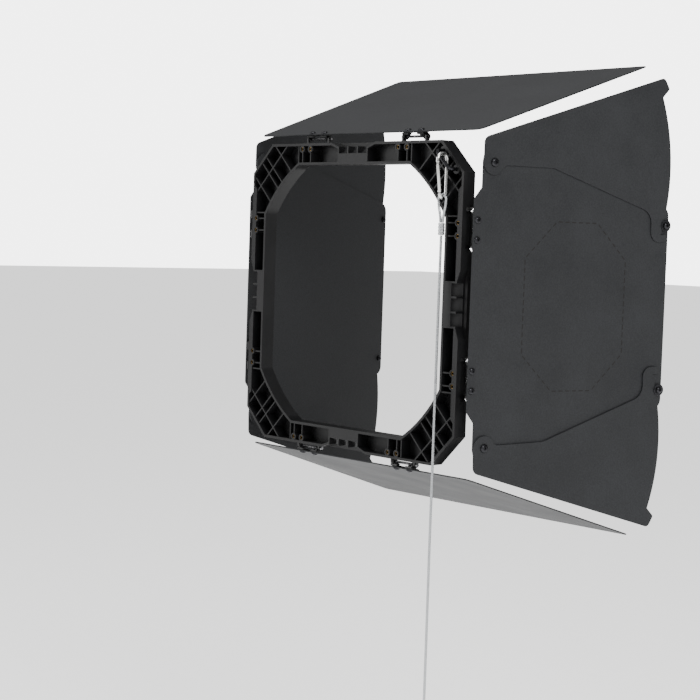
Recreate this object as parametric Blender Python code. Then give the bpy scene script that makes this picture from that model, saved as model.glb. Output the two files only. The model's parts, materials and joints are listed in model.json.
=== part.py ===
"""Four-leaf barn doors for a ten-inch Fresnel light, with their safety cable.

Units are metres, +Z is up, +Y is the way the light shines.  The origin is the
middle of the light opening, on the rear face of the frame.  A hinge line is
described once, in a leaf's own numbers: "along" the hinge, "reach" away from it
in the plane of the leaf, and "lift" off that plane towards the outer face.
"""

import math

import bmesh
import bpy
from mathutils import Matrix, Vector

MM = 0.001
GAP = 0.3 * MM  # air between two pieces that touch on the real object

# Frame: a square with cut corners, moulded hollow, open at the rear
FRAME_HALF = 175 * MM
FRAME_CHAMFER = 34 * MM
FRAME_DEPTH = 17.5 * MM
FRAME_WALL = 3 * MM
FRAME_FLOOR = 2.5 * MM
OPENING_HALF = 150 * MM
OPENING_RADIUS = 176 * MM
RING_WALL = 3 * MM
BEYOND = 30 * MM  # how far a cutter runs past what it cuts
BEYOND_SIDE = FRAME_HALF + BEYOND
RIB_THICKNESS = 1.6 * MM
RIB_SETBACK = 1.0 * MM
CORNER_RIB_INSET = 20 * MM
CORNER_RIB_OFFSETS = (-25.5 * MM, -5 * MM, 5 * MM, 25.5 * MM)
TONGUE_HALF = 25 * MM
TONGUE_STEP = 4.5 * MM
TONGUE_RAMP = 12 * MM
TONGUE_FLANGE = 5.5 * MM
TONGUE_RIBS = 4
TONGUE_RIB = 2 * MM
SCOOP_RADIUS = 12 * MM  # hollows between the ribs of a tongue
SCOOP_INSET = 12.5 * MM
THICK_WALL_HALF = 118 * MM
REBATE_DEPTH = 4 * MM
REBATE_START = 6 * MM

# Hinges: two on each side of the frame
HINGE_SPACING = 160 * MM
HINGE_OUTSIDE = 6 * MM
SIDE_HINGE_Y = FRAME_DEPTH - 5.8 * MM
TOP_HINGE_Y = FRAME_DEPTH + 3.5 * MM
KNUCKLE_RADIUS = 3.4 * MM
LEAF_THICKNESS = 2 * MM
EAR_THICKNESS = 2.4 * MM
DOOR_EAR_AT = 15.4 * MM
DOOR_LEAF_REACH = (-4.5 * MM, 9 * MM)
LEAF_NOTCH = 3.5 * MM  # the leaf is cut back between its ears to here
FRAME_LEAF_DEPTH = 12 * MM
PIN_RADIUS = 1.5 * MM
PIN_HEAD_RADIUS = 2.6 * MM
PIN_HEAD_HEIGHT = 1.8 * MM
PIN_TAIL = 1 * MM
INSERT_SPACING = 14 * MM
INSERT_INSET = 6.6 * MM
INSERT_RADIUS = 2.5 * MM
LEAF_BORE = 1.5 * MM
BOSS_WALL = 1.4 * MM

# Doors
SHEET = 1.5 * MM
PANEL_LIFT = 7.3 * MM  # outer face of a door above its hinge axis
DOOR_SCREW_SPACING = 21 * MM
DOOR_SCREW_RADIUS = 1.5 * MM
SCREW_TAIL = 3 * MM
SOCKET_SHARE = 0.34

WIDE_NEAR = -3.4 * MM
WIDE_FAR = 261.6 * MM
WIDE_NEAR_HALF = 181.5 * MM
WIDE_FAR_HALF = 203.3 * MM
TOP_FLARE = 19.3
BOTTOM_FLARE = 17.7

SIDE_NEAR = -5 * MM
SIDE_STEP = 9.3 * MM
SIDE_STEP_AT = 113 * MM
SIDE_STEP_RUN = 12 * MM
SIDE_FAR = 254 * MM
SIDE_FAR_HALF = 111.5 * MM
SIDE_CROWN_REACH = 96 * MM  # the edge under a wing is widest here
SIDE_CROWN = 157 * MM
RIGHT_FLARE = 14.0
LEFT_FLARE = 7.0

# Wings: flat leaves that turn on the outer face of a side door
PIVOT_REACH = 17.5 * MM
PIVOT_ALONG = 151.8 * MM
PIVOT_RADIUS = 2.2 * MM
PIVOT_HEAD = 4.7 * MM
PIVOT_HEAD_HEIGHT = 2.4 * MM
WING_LOBE = 13.2 * MM
WING_INSET = 1.1 * MM  # from the door's far edge to the top of the wing's arc
WING_ARC = SIDE_FAR - PIVOT_REACH - WING_INSET
WING_EAR_ANGLE = 20.6
WING_TAB_ANGLE = -17.3
WING_NOSE = 9.8 * MM  # end stop beyond the sliding edge
WING_TAB_WIDTH = 23.1 * MM
WING_TAB_DROP = 7.2 * MM
GUIDE_ANGLE = -14.4
GUIDE_COLLAR = 3 * MM
GUIDE_FLANGE = 6.6 * MM
GUIDE_FLANGE_THICKNESS = 0.8 * MM
GUIDE_SCREW_RADIUS = 1.8 * MM
GUIDE_HEAD = 3.8 * MM
GUIDE_HEAD_HEIGHT = 2.0 * MM
LOWER_WING_FOLD = 2.0

# Safety cable, its bail on the frame and its two snap hooks
BAIL_MIDDLE = 153.5 * MM
BAIL_HALF = 10 * MM
BAIL_ROD = 2 * MM
BAIL_STAND = 11 * MM
BAIL_BEND = 5 * MM
BAIL_NUT = 3.6 * MM
BAIL_NUT_HEIGHT = 3 * MM
HOOK_WIRE = 2 * MM
HOOK_WIDE_RADIUS = 7 * MM
HOOK_NARROW_RADIUS = 4.6 * MM
HOOK_CENTRES = 35 * MM
HOOK_LEAN = 2 * MM
GATE_RADIUS = 1.8 * MM
CABLE_RADIUS = 1.5 * MM
EYE_RADIUS = 5.8 * MM
EYE_LENGTH = 30 * MM
EYE_LEG = 1.75 * MM
FERRULE_RADIUS = 3.6 * MM
FERRULE_LENGTH = 13 * MM

# The cable hangs from the upper ferrule.  Points are (x, y, z), chosen by hand.
CABLE_ROUTE = [
    (0.1535, -0.0090, 0.0732),
    (0.1535, -0.0090, 0.0600),
    (0.1536, -0.0092, 0.0300),
    (0.1541, -0.0098, -0.0050),
    (0.1549, -0.0107, -0.0450),
    (0.1558, -0.0116, -0.0900),
    (0.1565, -0.0123, -0.1350),
    (0.1569, -0.0127, -0.1800),
    (0.1569, -0.0128, -0.2250),
    (0.1566, -0.0125, -0.2700),
    (0.1561, -0.0118, -0.3150),
    (0.1554, -0.0110, -0.3550),
    (0.1547, -0.0102, -0.3950),
    (0.1541, -0.0096, -0.4250),
    (0.1537, -0.0092, -0.4460),
    (0.1535, -0.0090, -0.4584),
    (0.1535, -0.0090, -0.4684),
]
CABLE_STEPS = 4  # straight pieces between two route points

LOW_SEGMENTS = 8
DISC_SEGMENTS = 12


# ---------------------------------------------------------------- helpers
def clear_scene():
    for thing in list(bpy.data.objects):
        bpy.data.objects.remove(thing, do_unlink=True)


def make_material(name, colour, metallic, roughness):
    material = bpy.data.materials.new(name)
    material.use_nodes = True
    shader = material.node_tree.nodes["Principled BSDF"]
    shader.inputs["Base Color"].default_value = (*colour, 1.0)
    shader.inputs["Metallic"].default_value = metallic
    shader.inputs["Roughness"].default_value = roughness
    material.diffuse_color = (*colour, 1.0)
    return material


def make_object(name, mesh_data, material, parent=None):
    """Turn a bmesh into an object whose mesh is already in its parent's space."""
    bmesh.ops.recalc_face_normals(mesh_data, faces=mesh_data.faces)
    mesh = bpy.data.meshes.new(name)
    mesh_data.to_mesh(mesh)
    mesh_data.free()
    mesh.materials.append(material)
    thing = bpy.data.objects.new(name, mesh)
    bpy.context.collection.objects.link(thing)
    thing.parent = parent
    return thing


def shade(thing, degrees=35):
    thing.data.shade_smooth()
    thing.data.set_sharp_from_angle(angle=math.radians(degrees))
    return thing


def arc(centre, radius, start, end, steps):
    """Points on an arc, both ends included; angles are in degrees."""
    points = []
    for step in range(steps + 1):
        angle = math.radians(start + (end - start) * step / steps)
        across = centre[0] + radius * math.cos(angle)
        up = centre[1] + radius * math.sin(angle)
        points.append((across, up))
    return points


def rounded(corners, steps=4):
    """An outline from (u, v, radius) corners, each rounded by its radius."""
    points = []
    count = len(corners)
    for index, (u, v, radius) in enumerate(corners):
        here = Vector((u, v))
        before = Vector(corners[index - 1][:2]) - here
        after = Vector(corners[(index + 1) % count][:2]) - here
        if radius <= 0:
            points.append((u, v))
            continue
        opening = before.angle(after)
        setback = radius / math.tan(opening / 2)
        first = here + before.normalized() * setback
        last = here + after.normalized() * setback
        middle = (before.normalized() + after.normalized()).normalized()
        centre = here + middle * (radius / math.sin(opening / 2))
        start = first - centre
        turn = start.angle_signed(last - centre)
        for step in range(steps + 1):
            spin = -turn * step / steps
            point = centre + Matrix.Rotation(spin, 2) @ start
            points.append((point.x, point.y))
    return points


def add_prism(mesh_data, outline, low, high, place):
    """Extrude an outline from low to high; place maps (u, v, w) to a point."""
    vertices = [mesh_data.verts.new(place(u, v, low)) for u, v in outline]
    face = mesh_data.faces.new(vertices)
    result = bmesh.ops.extrude_face_region(mesh_data, geom=[face])
    shift = Vector(place(0, 0, high)) - Vector(place(0, 0, low))
    moved = [item for item in result["geom"] if isinstance(item, bmesh.types.BMVert)]
    bmesh.ops.translate(mesh_data, verts=moved, vec=shift)


def prism(outline, low, high, place):
    mesh_data = bmesh.new()
    add_prism(mesh_data, outline, low, high, place)
    return mesh_data


def add_turned(mesh_data, profile, origin, direction, segments):
    """Spin a closed (radius, height) profile about a line through origin."""
    axis = Vector(direction).normalized()
    side = axis.orthogonal().normalized()
    base = Vector(origin)
    vertices = [
        mesh_data.verts.new(base + side * radius + axis * height)
        for radius, height in profile
    ]
    closed = profile[0][0] > 0
    edges = [
        mesh_data.edges.new((vertices[index], vertices[index + 1]))
        for index in range(len(vertices) - 1)
    ]
    if closed:
        edges.append(mesh_data.edges.new((vertices[-1], vertices[0])))
    before = set(mesh_data.verts) - set(vertices)
    bmesh.ops.spin(
        mesh_data,
        geom=vertices + edges,
        cent=base,
        axis=axis,
        angle=math.tau,
        steps=segments,
        use_merge=True,
    )
    added = [vertex for vertex in mesh_data.verts if vertex not in before]
    bmesh.ops.remove_doubles(mesh_data, verts=added, dist=0.00001)


def screw_profile(head_radius, head_height, shank_radius, length, socket=0.0):
    """A button head above height 0 with its shank below, from tip to top."""
    points = [(0, -length), (shank_radius, -length), (shank_radius, 0)]
    points += [(head_radius, 0), (head_radius, head_height * 0.35)]
    points += [(head_radius * 0.62, head_height)]
    if socket:
        points += [(socket, head_height), (socket, head_height * 0.4), (0, head_height * 0.4)]
    else:
        points += [(0, head_height)]
    return points


def ring_profile(inner, outer, low, high):
    return [(inner, low), (outer, low), (outer, high), (inner, high)]


def cut(thing, tool, operation="DIFFERENCE"):
    """Apply a boolean at once and delete the tool."""
    tool.hide_render = True
    tool.display_type = "WIRE"
    modifier = thing.modifiers.new(operation.title(), "BOOLEAN")
    modifier.operation = operation
    modifier.solver = "EXACT"
    modifier.object = tool
    bpy.context.view_layer.update()
    graph = bpy.context.evaluated_depsgraph_get()
    result = bpy.data.meshes.new_from_object(thing.evaluated_get(graph))
    thing.modifiers.clear()
    old = thing.data
    thing.data = result
    result.name = old.name
    bpy.data.meshes.remove(old)
    bpy.data.objects.remove(tool, do_unlink=True)


def make_tube(name, points, radius, material, parent=None):
    """A round rod along points, as a poly curve with filled caps."""
    curve = bpy.data.curves.new(name, "CURVE")
    curve.dimensions = "3D"
    curve.bevel_depth = radius
    curve.bevel_resolution = 2
    curve.use_fill_caps = True
    spline = curve.splines.new("POLY")
    spline.points.add(len(points) - 1)
    for item, point in zip(spline.points, points, strict=True):
        item.co = (*point, 1.0)
    curve.materials.append(material)
    thing = bpy.data.objects.new(name, curve)
    bpy.context.collection.objects.link(thing)
    thing.parent = parent
    return thing


def smooth_path(route, steps):
    """A Catmull-Rom curve through the route's points."""
    points = [Vector(point) for point in route]
    padded = [points[0] * 2 - points[1]] + points + [points[-1] * 2 - points[-2]]
    result = []
    for index in range(1, len(padded) - 2):
        a, b, c, d = padded[index - 1 : index + 3]
        for step in range(steps):
            t = step / steps
            result.append(
                0.5
                * (
                    2 * b
                    + (c - a) * t
                    + (2 * a - 5 * b + 4 * c - d) * t**2
                    + (3 * b - a - 3 * c + d) * t**3
                )
            )
    result.append(points[-1])
    return result


# ---------------------------------------------------------------- frame
def frame_place(u, v, w):
    """Frame outlines are drawn in X and Z and extruded along Y."""
    return (u, w, v)


def turned_quarters(points):
    """Repeat the points of one side on all four sides, as one outline."""
    outline = []
    for quarter in range(4):
        spin = Matrix.Rotation(math.pi / 2 * quarter, 2)
        for point in points:
            turned = spin @ Vector(point)
            outline.append((turned.x, turned.y))
    return outline


def frame_outline():
    """A square with cut corners."""
    corner = FRAME_HALF - FRAME_CHAMFER
    return turned_quarters([(FRAME_HALF, -corner), (FRAME_HALF, corner)])


def pocket_outline():
    """The hollow inside the outer wall, which is thicker beside the side hinges."""
    corner = FRAME_HALF - FRAME_CHAMFER
    slant = FRAME_WALL * (1 - math.tan(math.radians(22.5)))
    wall = FRAME_HALF - FRAME_WALL
    thick = FRAME_HALF - REBATE_DEPTH - FRAME_WALL
    bend = THICK_WALL_HALF + REBATE_DEPTH
    side = [(wall, corner - FRAME_WALL + slant)]
    side += [(wall, bend + REBATE_DEPTH), (thick, bend), (thick, -bend)]
    side += [(wall, -bend - REBATE_DEPTH), (wall, -corner + FRAME_WALL - slant)]
    dip = TONGUE_HALF - MM  # the wall keeps its thickness past a tongue
    deep = FRAME_HALF - TONGUE_STEP - FRAME_WALL
    flat = [(corner - FRAME_WALL + slant, -wall), (dip + TONGUE_RAMP, -wall), (dip, -deep)]
    flat += [(-u, v) for u, v in reversed(flat)]
    outline = side + flat
    outline += [(-u, -v) for u, v in side]
    outline += [(-u, -v) for u, v in flat]
    return outline


def opening_outline(half, radius):
    """Four flats joined by four arcs round the middle of the opening."""
    edge = math.degrees(math.acos(half / radius))
    outline = []
    for quarter in range(4):
        turn = 90 * quarter
        outline += arc((0, 0), radius, turn + edge, turn + 90 - edge, 8)
    return outline


def four_turns():
    """Maps a (u, v) on the right side of the frame onto each of its sides."""
    for quarter in range(4):
        spin = Matrix.Rotation(-math.pi / 2 * quarter, 2)
        yield lambda u, v, spin=spin: tuple(spin @ Vector((u, v)))


def insert_places():
    """(u, v) of every threaded insert, on all four sides."""
    reach = FRAME_HALF - INSERT_INSET
    for turn in four_turns():
        for hinge in (-1, 1):
            for side in (-1, 1):
                yield turn(reach, hinge * HINGE_SPACING / 2 + side * INSERT_SPACING / 2)


def bail_feet():
    low = BAIL_MIDDLE - BAIL_HALF
    high = BAIL_MIDDLE + BAIL_HALF
    return ((low, high), (high, low))


def add_bar(mesh_data, turn, low, high, along, thickness, y_low, y_high):
    """A straight rib on the right side, from u = low to high at v = along."""
    half = thickness / 2
    outline = [
        turn(low, along - half),
        turn(high, along - half),
        turn(high, along + half),
        turn(low, along + half),
    ]
    add_prism(mesh_data, outline, y_low, y_high, frame_place)


def ring_wall():
    """The wall round the light opening, as a solid plug that is bored later."""
    wall = bmesh.new()
    outline = opening_outline(OPENING_HALF + RING_WALL, OPENING_RADIUS + RING_WALL)
    add_prism(wall, outline, -GAP, BEYOND, frame_place)
    return wall


def tongue_blocks():
    """Solid pads at the middle of each side, where the light's brackets press."""
    blocks = bmesh.new()
    for turn in four_turns():
        width = 2 * TONGUE_HALF
        add_bar(blocks, turn, OPENING_HALF, BEYOND_SIDE, 0, width, -GAP, BEYOND)
    return blocks


def hinge_ribs():
    """Ribs from the ring to the outer wall, at each insert and past each hinge."""
    ribs = bmesh.new()
    for turn in four_turns():
        for hinge in (-1, 1):
            middle = hinge * HINGE_SPACING / 2
            for offset in (-INSERT_SPACING / 2, INSERT_SPACING / 2, hinge * INSERT_SPACING):
                place = (OPENING_HALF, BEYOND_SIDE, middle + offset)
                add_bar(ribs, turn, *place, RIB_THICKNESS, RIB_SETBACK, BEYOND)
    return ribs


def round_bosses():
    """A boss for each threaded insert and for each foot of the bail."""
    bosses = bmesh.new()
    for u, v in insert_places():
        boss = arc((u, v), INSERT_RADIUS + GAP + BOSS_WALL, 0, 330, 11)
        add_prism(bosses, boss, -GAP, BEYOND, frame_place)
    for u, v in bail_feet():
        boss = arc((u, v), BAIL_ROD + GAP + 2 * BOSS_WALL, 0, 330, 11)
        add_prism(bosses, boss, -GAP, BEYOND, frame_place)
    return bosses


def corner_turns():
    """Maps (u, v), u along a corner's diagonal, onto each of the four corners."""
    for quarter in range(4):
        spin = Matrix.Rotation(math.radians(45 + 90 * quarter), 2)
        yield lambda u, v, spin=spin: tuple(spin @ Vector((u, v)))


def corner_reach():
    """From the middle of the frame to the middle of a cut corner."""
    return (2 * FRAME_HALF - FRAME_CHAMFER) / math.sqrt(2)


def corner_ribs():
    """Four ribs side by side along each corner's diagonal."""
    ribs = bmesh.new()
    for turn in corner_turns():
        for offset in CORNER_RIB_OFFSETS:
            low = math.sqrt(OPENING_RADIUS**2 - offset**2) + RING_WALL / 2
            high = corner_reach() + BEYOND
            add_bar(ribs, turn, low, high, offset, RIB_THICKNESS, RIB_SETBACK, BEYOND)
    return ribs


def corner_crossbars():
    """One rib across each corner, parallel to its cut."""
    bars = bmesh.new()
    middle = corner_reach() - CORNER_RIB_INSET
    half = RIB_THICKNESS / 2
    width = 2 * (FRAME_CHAMFER + CORNER_RIB_INSET)
    for turn in corner_turns():
        place = (middle - half, middle + half, 0, width)
        add_bar(bars, turn, *place, RIB_SETBACK, BEYOND)
    return bars


def light_opening():
    opening = bmesh.new()
    outline = opening_outline(OPENING_HALF, OPENING_RADIUS)
    add_prism(opening, outline, -FRAME_DEPTH, BEYOND, frame_place)
    return opening


def tongue_steps():
    """Behind the front flange, each side is stepped in at its tongue."""
    steps = bmesh.new()
    tongue = FRAME_HALF - TONGUE_STEP
    outside = FRAME_HALF + TONGUE_STEP
    far = TONGUE_HALF + 2 * TONGUE_RAMP
    for turn in four_turns():
        corners = [(tongue, -TONGUE_HALF), (tongue, TONGUE_HALF), (outside, far), (outside, -far)]
        outline = [turn(u, v) for u, v in corners]
        add_prism(steps, outline, -BEYOND, FRAME_DEPTH - TONGUE_FLANGE, frame_place)
    return steps


def tongue_scoops():
    """Quarter-round hollows between a tongue's ribs, open behind and outside."""
    scoops = bmesh.new()
    start = FRAME_HALF - SCOOP_INSET
    profile = arc((start + SCOOP_RADIUS, -MM), SCOOP_RADIUS, 180, 90, 6)
    profile += [(BEYOND_SIDE, profile[-1][1]), (BEYOND_SIDE, -BEYOND), (start, -BEYOND)]
    pitch = (2 * TONGUE_HALF - TONGUE_RIB) / (TONGUE_RIBS - 1)
    for turn in four_turns():

        def place(reach, depth, along, turn=turn):
            u, v = turn(reach, along)
            return (u, depth, v)

        for number in range(TONGUE_RIBS - 1):
            low = -TONGUE_HALF + TONGUE_RIB + number * pitch
            add_prism(scoops, profile, low, low + pitch - TONGUE_RIB, place)
    return scoops


def hinge_rebates():
    """Steps in the outer corner that clear the ears of each side hinge."""
    rebates = bmesh.new()
    step = FRAME_HALF - REBATE_DEPTH
    outside = FRAME_HALF + REBATE_DEPTH
    half = frame_ear_at() + EAR_THICKNESS / 2 + 2 * GAP
    for side in (-1, 1):
        for _, middle in hinge_positions():
            outline = [
                (side * step, middle - half),
                (side * step, middle + half),
                (side * outside, middle + half + 2 * REBATE_DEPTH),
                (side * outside, middle - half - 2 * REBATE_DEPTH),
            ]
            add_prism(rebates, outline, REBATE_START, BEYOND, frame_place)
    return rebates


def round_holes():
    """Bores for the threaded inserts and for the feet of the bail."""
    bores = bmesh.new()
    holes = [(place, INSERT_RADIUS) for place in insert_places()]
    holes += [(place, BAIL_ROD + GAP) for place in bail_feet()]
    for (u, v), radius in holes:
        hole = [(0, -FRAME_DEPTH), (radius, -FRAME_DEPTH), (radius, BEYOND), (0, BEYOND)]
        add_turned(bores, hole, (u, 0, v), (0, 1, 0), LOW_SEGMENTS)
    return bores


def make_frame(nylon):
    """The frame's hollow is made first, less all that stays in it, and cut out."""
    outline = pocket_outline()
    hollow = prism(outline, -FRAME_DEPTH, FRAME_DEPTH - FRAME_FLOOR, frame_place)
    pocket = make_object("pocket", hollow, nylon)
    inside = (
        ring_wall(),
        tongue_blocks(),
        hinge_ribs(),
        round_bosses(),
        corner_ribs(),
        corner_crossbars(),
    )
    for shapes in inside:
        cut(pocket, make_object("kept", shapes, nylon))
    frame = make_object("frame", prism(frame_outline(), 0, FRAME_DEPTH, frame_place), nylon)
    cut(frame, pocket)
    removed = (
        light_opening(),
        tongue_steps(),
        tongue_scoops(),
        hinge_rebates(),
        round_holes(),
    )
    for shapes in removed:
        cut(frame, make_object("removed", shapes, nylon))
    return shade(frame)


# ---------------------------------------------------------------- hinges
class Side:
    """One side of the frame: where its hinge line runs and how its door leans."""

    def __init__(self, name, quarter, hinge_y, flare):
        self.name = name
        self.turn = Matrix.Rotation(math.radians(90 * quarter), 3, "Y")
        self.hinge_y = hinge_y
        self.flare = math.radians(flare)
        self.radius = FRAME_HALF + HINGE_OUTSIDE
        self.up = -1 if name == "left" else 1  # +1 where "along" points up

    def point(self, along, out, forward):
        """A point beside the frame: out is measured from the frame's middle."""
        return self.turn @ Vector((out, forward, along))

    def frame_place(self, u, v, w):
        """u runs out from the frame's middle, v is forward, w is along."""
        return self.point(w, u, v)

    def door_place(self, reach, along, lift):
        """A point on the door, from its reach, along and lift."""
        sine = math.sin(self.flare)
        cosine = math.cos(self.flare)
        out = self.radius + reach * sine + lift * cosine
        forward = self.hinge_y + reach * cosine - lift * sine
        return self.point(along, out, forward)

    def outward(self):
        """The direction that a door's outer face looks in."""
        return self.door_place(0, 0, 1) - self.door_place(0, 0, 0)

    def origin(self):
        return self.point(0, self.radius, self.hinge_y)


def make_anchor(name, place):
    """An empty on a hinge or pivot line; the pieces that turn hang from it."""
    anchor = bpy.data.objects.new(name, None)
    anchor.location = place
    bpy.context.collection.objects.link(anchor)
    return anchor


def hang(thing, anchor):
    """Give a piece the anchor as its parent and keep it where it is."""
    thing.parent = anchor
    thing.matrix_parent_inverse = Matrix.Translation(anchor.location).inverted()
    return thing


def ear_outline(centre, feet):
    """A round knuckle drawn out to its foot, as a convex outline."""
    points = [Vector(point) for point in arc(centre, KNUCKLE_RADIUS, 0, 337.5, 15)]
    points += [Vector(point) for point in feet]
    return convex(points)


def convex(points):
    """The convex outline round some points, by gift wrapping."""
    start = min(points, key=lambda point: (point.x, point.y))
    outline = []
    current = start
    while True:
        outline.append((current.x, current.y))
        best = None
        for point in points:
            if (point - current).length < 0.01 * MM:
                continue
            if best is None:
                best = point
                continue
            first = best - current
            second = point - current
            turn = first.x * second.y - first.y * second.x
            if turn < 0 or (turn == 0 and second.length > first.length):
                best = point
        current = best
        if (current - start).length < 0.01 * MM:
            return outline


def frame_ear_at():
    return DOOR_EAR_AT + EAR_THICKNESS + GAP


def hinge_positions():
    return ((1, -HINGE_SPACING / 2), (2, HINGE_SPACING / 2))


def make_frame_leaf(side, number, middle, steel):
    """A plate screwed to the frame's front, with an ear at each end."""
    foot = FRAME_HALF - REBATE_DEPTH + GAP
    back = FRAME_DEPTH + GAP
    front = back + LEAF_THICKNESS
    half = frame_ear_at() + EAR_THICKNESS / 2
    leaf = bmesh.new()
    plate = [(foot, back), (foot - FRAME_LEAF_DEPTH, back)]
    plate += [(foot - FRAME_LEAF_DEPTH, front), (foot, front)]
    add_prism(leaf, plate, middle - half, middle + half, side.frame_place)
    name = f"{side.name}_hinge_{number}_frame_leaf"
    thing = make_object(name, leaf, steel)
    ears = bmesh.new()
    shape = ear_outline((side.radius, side.hinge_y), ((foot, back), (foot, front)))
    for end in (-1, 1):
        at = middle + end * frame_ear_at()
        low = at - EAR_THICKNESS / 2
        high = at + EAR_THICKNESS / 2
        add_prism(ears, shape, low, high, side.frame_place)
    cut(thing, make_object("ears", ears, steel), "UNION")
    holes = bmesh.new()
    for end in (-1, 1):
        at = middle + end * frame_ear_at()
        hole = [(0, -EAR_THICKNESS), (PIN_RADIUS + GAP, -EAR_THICKNESS)]
        hole += [(PIN_RADIUS + GAP, EAR_THICKNESS), (0, EAR_THICKNESS)]
        along = side.point(1, 0, 0)
        add_turned(holes, hole, side.point(at, side.radius, side.hinge_y), along, LOW_SEGMENTS)
        at = middle + end * INSERT_SPACING / 2
        centre = side.point(at, FRAME_HALF - INSERT_INSET, back)
        hole = [(0, -LEAF_THICKNESS), (LEAF_BORE, -LEAF_THICKNESS)]
        hole += [(LEAF_BORE, 2 * LEAF_THICKNESS), (0, 2 * LEAF_THICKNESS)]
        add_turned(holes, hole, centre, (0, 1, 0), LOW_SEGMENTS)
    cut(thing, make_object("holes", holes, steel))
    return shade(thing)


def make_pin(side, number, middle, nickel):
    """One headed pin through all four ears of a hinge."""
    head_at = frame_ear_at() + EAR_THICKNESS / 2 + GAP
    profile = screw_profile(PIN_HEAD_RADIUS, PIN_HEAD_HEIGHT, PIN_RADIUS, 2 * head_at + PIN_TAIL)
    pin = bmesh.new()
    place = side.point(middle + head_at, side.radius, side.hinge_y)
    add_turned(pin, profile, place, side.point(1, 0, 0), LOW_SEGMENTS)
    shade(make_object(f"{side.name}_hinge_{number}_pin", pin, nickel))


def make_door_leaf(side, number, middle, steel, anchor):
    """A plate under the door, with an ear at each end round the hinge pin."""
    top = PANEL_LIFT - SHEET - GAP
    low = top - LEAF_THICKNESS
    half = DOOR_EAR_AT + EAR_THICKNESS / 2
    near, far = DOOR_LEAF_REACH

    def place(reach, lift, along):
        return side.door_place(reach, along, lift)

    leaf = bmesh.new()
    plate = [(near, low), (far, low), (far, top), (near, top)]
    add_prism(leaf, plate, middle - half, middle + half, place)
    thing = make_object(f"{side.name}_hinge_{number}_door_leaf", leaf, steel)
    ears = bmesh.new()
    feet = ((-KNUCKLE_RADIUS, top - MM), (KNUCKLE_RADIUS, top - MM))
    shape = ear_outline((0, 0), feet)
    for end in (-1, 1):
        at = middle + end * DOOR_EAR_AT
        add_prism(ears, shape, at - EAR_THICKNESS / 2, at + EAR_THICKNESS / 2, place)
    cut(thing, make_object("ears", ears, steel), "UNION")
    holes = bmesh.new()
    for end in (-1, 1):
        at = middle + end * DOOR_EAR_AT
        hole = [(0, -EAR_THICKNESS), (PIN_RADIUS + GAP, -EAR_THICKNESS)]
        hole += [(PIN_RADIUS + GAP, EAR_THICKNESS), (0, EAR_THICKNESS)]
        add_turned(holes, hole, side.door_place(0, at, 0), side.point(1, 0, 0), LOW_SEGMENTS)
    add_screw_holes(holes, side, middle, low - LEAF_THICKNESS, top + LEAF_THICKNESS)
    notch_half = DOOR_SCREW_SPACING / 2 - DOOR_SCREW_RADIUS - LEAF_THICKNESS
    notch = [(near - MM, low - MM), (LEAF_NOTCH, low - MM)]
    notch += [(LEAF_NOTCH, top + MM), (near - MM, top + MM)]
    add_prism(holes, notch, middle - notch_half, middle + notch_half, place)
    cut(thing, make_object("holes", holes, steel))
    return hang(shade(thing), anchor)


# ---------------------------------------------------------------- doors
def add_hole(mesh_data, side, reach, along, radius, low, high):
    """A cutter across a door's thickness."""
    depth = high - low
    hole = [(0, 0), (radius, 0), (radius, depth), (0, depth)]
    base = side.door_place(reach, along, low)
    add_turned(mesh_data, hole, base, side.outward(), LOW_SEGMENTS)


def add_screw_holes(mesh_data, side, middle, low, high):
    for end in (-1, 1):
        at = middle + end * DOOR_SCREW_SPACING / 2
        add_hole(mesh_data, side, 0, at, DOOR_SCREW_RADIUS + GAP, low, high)


def wide_outline():
    """The top and bottom doors: a sheet that widens away from the light."""
    return rounded(
        [
            (WIDE_NEAR, -WIDE_NEAR_HALF, 9 * MM),
            (WIDE_FAR, -WIDE_FAR_HALF, 4 * MM),
            (WIDE_FAR, WIDE_FAR_HALF, 4 * MM),
            (WIDE_NEAR, WIDE_NEAR_HALF, 9 * MM),
        ]
    )


def side_outline():
    """The side doors: stepped near the hinge, narrower at the far edge."""
    step = SIDE_NEAR + SIDE_STEP
    shoulder = SIDE_STEP_AT + SIDE_STEP_RUN
    lobe_top = PIVOT_ALONG + 1.27 * WING_LOBE
    half = [
        (SIDE_NEAR, SIDE_STEP_AT, 4 * MM),
        (step, shoulder, 4 * MM),
        (step, lobe_top, WING_LOBE),
        (SIDE_CROWN_REACH, SIDE_CROWN, 60 * MM),
        (SIDE_FAR, SIDE_FAR_HALF, 11 * MM),
    ]
    mirrored = [(reach, -along, radius) for reach, along, radius in reversed(half)]
    return rounded(half + mirrored)


def guide_place():
    """The guide's reach and along, just outside the wing's sliding edge."""
    radius = WING_ARC + GUIDE_COLLAR + 1.3 * GAP
    angle = math.radians(GUIDE_ANGLE)
    reach = PIVOT_REACH + radius * math.cos(angle)
    along = PIVOT_ALONG + radius * math.sin(angle)
    return reach, along


def make_sheet(side, outline, thing_name, material, anchor, holes):
    """A flat panel with round holes, given as (reach, along, radius)."""
    low = PANEL_LIFT - SHEET
    thing = make_object(thing_name, prism(outline, low, PANEL_LIFT, side.door_place), material)
    drills = bmesh.new()
    for reach, along, radius in holes:
        add_hole(drills, side, reach, along, radius, low - SHEET, PANEL_LIFT + SHEET)
    cut(thing, make_object("drills", drills, material))
    return hang(shade(thing), anchor)


def hinge_screw_holes():
    holes = []
    for _, middle in hinge_positions():
        for end in (-1, 1):
            at = middle + end * DOOR_SCREW_SPACING / 2
            holes.append((0, at, DOOR_SCREW_RADIUS + GAP))
    return holes


def make_hinges(side, steel, nickel, anchor):
    for number, middle in hinge_positions():
        make_frame_leaf(side, number, middle, steel)
        make_door_leaf(side, number, middle, steel, anchor)
        make_pin(side, number, middle, nickel)


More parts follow.
